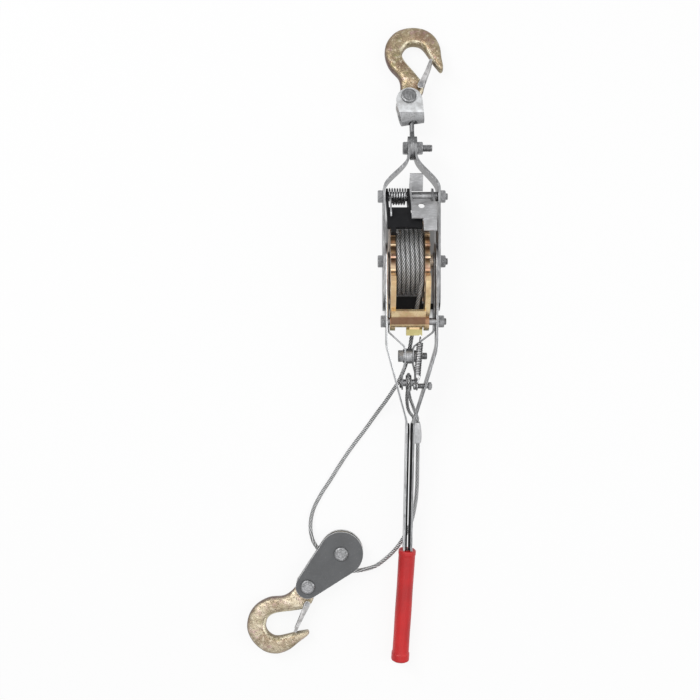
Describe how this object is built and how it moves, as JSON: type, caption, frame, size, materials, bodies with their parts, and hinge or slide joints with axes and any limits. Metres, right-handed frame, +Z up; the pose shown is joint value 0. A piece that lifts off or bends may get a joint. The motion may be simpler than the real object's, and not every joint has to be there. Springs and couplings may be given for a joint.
{
  "type": "come along winch",
  "caption": "Hand lever ratchet cable puller with toothed drum wheels, a swivel hook, a wire rope and a pulley block with a second hook.",
  "frame": {"origin": "on the surface that the winch lies on, straight below the middle of the drum axle", "axes": "+Y along the winch towards the swivel hook, +X across it towards the bolts' nuts, +Z up from the surface"},
  "size_m": [0.2255, 0.7227, 0.1055],
  "materials": {
    "zinc_plate": "bright zinc plated sheet",
    "dull_zinc": "dull zinc plate",
    "zinc_bolt": "zinc plated, satin",
    "spring_wire": "bright drawn wire",
    "yellow_zinc": "yellow chromated zinc with warm and pink tints",
    "black_paint": "semi-matt black",
    "bronze": "sintered bronze",
    "wire_rope": "galvanised seven-strand wire",
    "red_vinyl": "dipped vinyl, soft gloss",
    "forged_hook": "forged, yellow chromate with iridescent tints",
    "latch_sheet": "stamped sheet, satin",
    "block_steel": "dark grey, fine grain",
    "sheave_steel": "yellow zinc",
    "ferrule_alloy": "pressed, satin"
  },
  "bodies": {
    "frame": {"frame_plate_left": "zinc_plate", "frame_plate_right": "zinc_plate", "tail_link_left": "dull_zinc", "tail_link_right": "dull_zinc", "upper_cross_bolt": "zinc_bolt", "upper_bolt_nut": "zinc_bolt", "upper_spacer_tube": "dull_zinc", "stop_pawl_spring": "spring_wire", "axle_bolt": "zinc_bolt", "axle_nut": "zinc_bolt", "top_bolt": "zinc_bolt", "top_bolt_nut": "zinc_bolt", "tail_bolt": "zinc_bolt", "tail_nut": "zinc_bolt", "tail_sleeve": "dull_zinc", "rope_guard": "black_paint", "dead_end_pin": "dull_zinc", "rope_run": "wire_rope", "rope_eye": "wire_rope", "thimble": "black_paint", "ferrule": "ferrule_alloy"},
    "drum": {"drum_tube": "black_paint", "ratchet_wheel_left": "yellow_zinc", "ratchet_wheel_right": "yellow_zinc", "drum_bush": "bronze", "rope_under_layers": "wire_rope", "rope_winding": "wire_rope"},
    "handle": {"handle_strap_left": "zinc_plate", "handle_strap_right": "zinc_plate", "handle_core": "black_paint", "grip": "red_vinyl", "pawl_bolt": "zinc_bolt", "pawl_nut": "zinc_bolt", "spring_anchor_bolt": "zinc_bolt", "spring_anchor_nut": "zinc_bolt", "drive_spring": "spring_wire"},
    "drive_pawl": {"driving_pawl": "yellow_zinc"},
    "holding_pawl": {"stop_pawl": "black_paint", "release_lever": "zinc_plate"},
    "swivel": {"swivel_eye": "dull_zinc"},
    "yoke": {"hook_yoke": "zinc_plate", "yoke_pin": "zinc_bolt"},
    "front_hook": {"top_hook": "forged_hook", "top_latch_pin": "zinc_bolt", "top_latch_spring": "spring_wire"},
    "front_latch": {"top_latch": "latch_sheet"},
    "pulley_block": {"block_plate_upper": "block_steel", "block_plate_lower": "block_steel", "sheave_axle": "block_steel", "hook_rivet": "block_steel"},
    "sheave_wheel": {"sheave": "sheave_steel", "sheave_bush": "bronze"},
    "rear_hook": {"block_hook": "forged_hook", "block_latch_pin": "zinc_bolt", "block_latch_spring": "spring_wire"},
    "rear_latch": {"block_latch": "latch_sheet"}
  },
  "joints": [
    {"name": "drum_spin", "type": "hinge", "parent": "frame", "child": "drum", "pos_m": [0, 0, 0.045], "axis": [1, 0, 0], "continuous": true},
    {"name": "handle_swing", "type": "hinge", "parent": "frame", "child": "handle", "pos_m": [0, 0, 0.045], "axis": [-1, 0, 0], "range_deg": [0, 36]},
    {"name": "driving_pawl_turn", "type": "hinge", "parent": "handle", "child": "drive_pawl", "pos_m": [0, -0.067, 0.06], "axis": [1, 0, 0], "range_deg": [-6, 14], "deforming": ["drive_spring"]},
    {"name": "stop_pawl_turn", "type": "hinge", "parent": "frame", "child": "holding_pawl", "pos_m": [0, 0.072, 0.045], "axis": [-1, 0, 0], "range_deg": [-6, 20], "deforming": ["stop_pawl_spring"]},
    {"name": "swivel_eye_pitch", "type": "hinge", "parent": "frame", "child": "swivel", "pos_m": [0.0013, 0.1256, 0.045], "axis": [1, 0, 0], "range_deg": [-55, 75]},
    {"name": "hook_swivel", "type": "hinge", "parent": "swivel", "child": "yoke", "pos_m": [0.0013, 0.16212, 0.03526], "axis": [0, 0.9662, -0.2578], "continuous": true},
    {"name": "top_hook_turn", "type": "hinge", "parent": "yoke", "child": "front_hook", "pos_m": [-0.00212, 0.18185, 0.02999], "axis": [0, 0.2578, 0.9662], "range_deg": [-35, 50]},
    {"name": "top_latch_open", "type": "hinge", "parent": "front_hook", "child": "front_latch", "pos_m": [0.01154, 0.19581, 0.02627], "axis": [0, 0.2578, 0.9662], "range_deg": [0, 26], "stiffness_Nm_per_rad": 0.03, "deforming": ["top_latch_spring"]},
    {"name": "block_draw", "type": "slide", "parent": "frame", "child": "pulley_block", "axis": [-0.342, -0.9397, 0], "range_m": [0, 0.03], "deforming": ["rope_run"]},
    {"name": "sheave_spin", "type": "hinge", "parent": "pulley_block", "child": "sheave_wheel", "pos_m": [-0.0777, -0.3291, 0.012], "axis": [0, 0, 1], "continuous": true},
    {"name": "block_hook_turn", "type": "hinge", "parent": "pulley_block", "child": "rear_hook", "pos_m": [-0.1155, -0.36625, 0.012], "axis": [0, 0, 1], "range_deg": [-45, 45]},
    {"name": "block_latch_open", "type": "hinge", "parent": "rear_hook", "child": "rear_latch", "pos_m": [-0.11605, -0.38612, 0.012], "axis": [0, 0, -1], "range_deg": [0, 26], "stiffness_Nm_per_rad": 0.03, "deforming": ["block_latch_spring"]}
  ]
}
